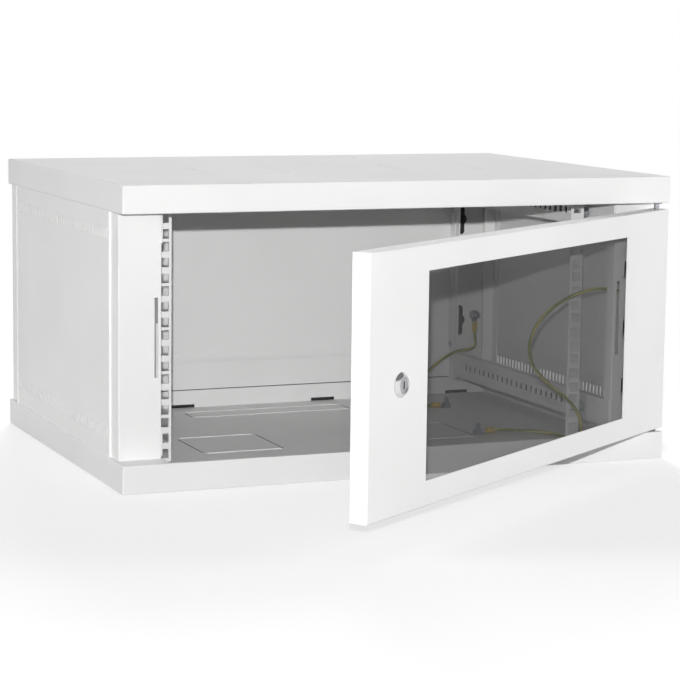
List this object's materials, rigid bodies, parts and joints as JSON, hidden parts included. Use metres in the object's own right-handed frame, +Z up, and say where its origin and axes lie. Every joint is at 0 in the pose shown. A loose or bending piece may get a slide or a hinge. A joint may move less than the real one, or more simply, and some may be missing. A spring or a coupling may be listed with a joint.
{
  "type": "wall mount data cabinet",
  "caption": "Shallow wall cabinet for 19 inch equipment: folded steel trays on posts, vented side panels, square-hole rails and a hinged glazed door with a cam lock.",
  "frame": {"origin": "middle of the footprint, on the plane of the base tray's lower edges", "axes": "+X to the right as seen from the door side, +Y from the door to the wall, +Z up"},
  "size_m": [0.6031, 0.7654, 0.3],
  "materials": {
    "casing_paint": "pale grey powder coat, satin, fine orange peel",
    "rail_paint": "pale grey powder coat, satin",
    "zinc": "bright zinc plate",
    "spring_steel": "drawn wire, oiled",
    "bush_plastic": "moulded nylon",
    "smoked_glass": "polished, smoked grey",
    "seal_rubber": "matt foam strip",
    "lock_chrome": "nickel-chrome plate",
    "tinned_copper": "tinned, crimped",
    "lead_sheath": "green and yellow PVC sheath",
    "sleeve_vinyl": "yellow vinyl insulation"
  },
  "bodies": {
    "casing": {"base_tray": "casing_paint", "roof_tray": "casing_paint", "rear_panel": "casing_paint", "front_post_left": "casing_paint", "rear_post_left": "casing_paint", "side_panel_left": "casing_paint", "front_post_right": "casing_paint", "rear_post_right": "casing_paint", "side_panel_right": "casing_paint", "depth_rail_lower_left": "rail_paint", "depth_rail_upper_left": "rail_paint", "rack_rail_left": "rail_paint", "depth_rail_lower_right": "rail_paint", "depth_rail_upper_right": "rail_paint", "rack_rail_right": "rail_paint", "rail_spacers": "zinc", "rail_bolts": "zinc", "rail_nuts": "zinc", "rear_panel_screws": "zinc", "hinge_bush_lower": "bush_plastic", "hinge_bush_upper": "bush_plastic", "earth_studs": "zinc", "earth_nuts": "zinc", "earth_lugs_rear": "tinned_copper", "earth_lugs_side": "tinned_copper", "earth_sleeves_rear": "sleeve_vinyl", "earth_sleeves_side": "sleeve_vinyl", "earth_lead_rear": "lead_sheath", "earth_lead_side": "lead_sheath"},
    "door": {"door_frame": "casing_paint", "door_glass": "smoked_glass", "glass_seal": "seal_rubber", "glass_clips": "zinc", "clip_studs": "zinc", "clip_nuts": "zinc", "hinge_bracket_lower": "zinc", "hinge_bracket_upper": "zinc", "hinge_pin_lower": "zinc", "hinge_spring": "spring_steel", "lock_housing": "lock_chrome", "lock_nut": "zinc"},
    "lock": {"lock_plug": "lock_chrome", "lock_cam": "zinc", "cam_screw": "zinc"},
    "hinge_pin": {"hinge_pin_upper": "zinc"}
  },
  "joints": [
    {"name": "door_hinge", "type": "hinge", "parent": "casing", "child": "door", "pos_m": [0.29, -0.205, 0.148], "axis": [0, 0, 1], "range_deg": [-34.94, 145]},
    {"name": "lock_turn", "type": "hinge", "parent": "door", "child": "lock", "pos_m": [-0.1498, -0.51226, 0.14635], "axis": [-0.5727, 0.8198, 0], "range_deg": [0, 90]},
    {"name": "hinge_pin_slide", "type": "slide", "parent": "door", "child": "hinge_pin", "axis": [0, 0, -1], "range_m": [0, 0.008], "stiffness_N_per_m": 600, "springref_m": -0.01, "deforming": ["hinge_spring"]}
  ]
}
